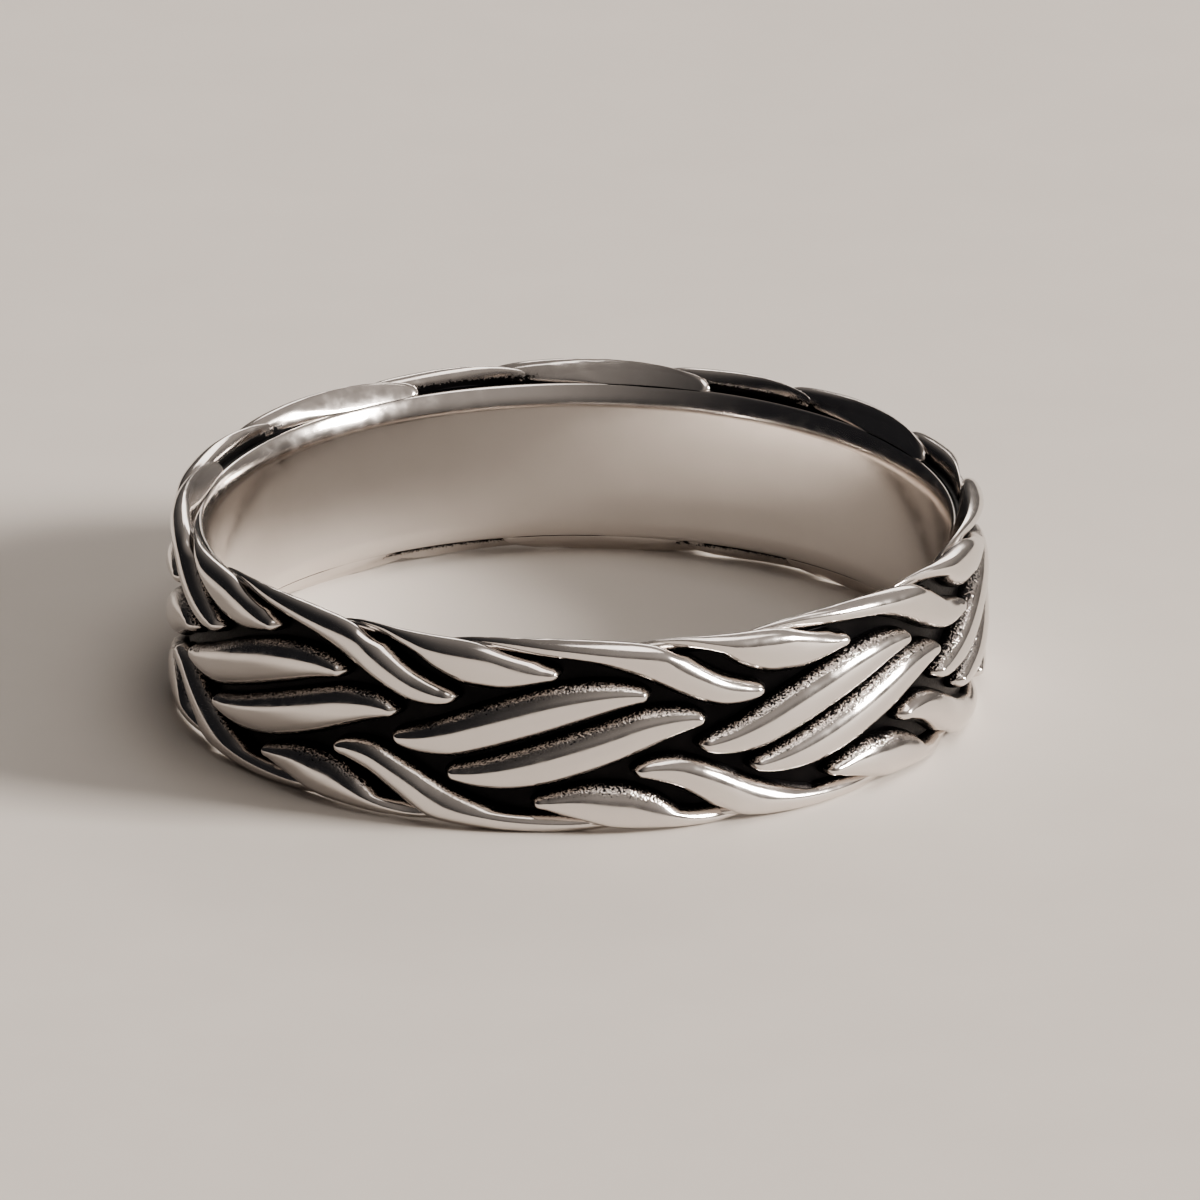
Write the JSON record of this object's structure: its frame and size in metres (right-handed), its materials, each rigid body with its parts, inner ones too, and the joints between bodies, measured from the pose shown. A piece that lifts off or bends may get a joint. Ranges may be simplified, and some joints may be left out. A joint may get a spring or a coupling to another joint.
{
  "type": "braided band ring",
  "caption": "Finger ring, one cast silver band with a flat braid of doubled strands raised on its outside and a smooth bore.",
  "frame": {"origin": "centre of the ring's axis at the lower rim, on the plane that the ring lies on", "axes": "+Z along the ring's axis, up from the lower rim to the upper one; -Y faces the picture's camera"},
  "size_m": [0.0222, 0.0222, 0.0055],
  "materials": {
    "silver": "polished sterling silver with blackened grooves"
  },
  "bodies": {
    "root": {"cast_band": "silver"}
  },
  "joints": []
}
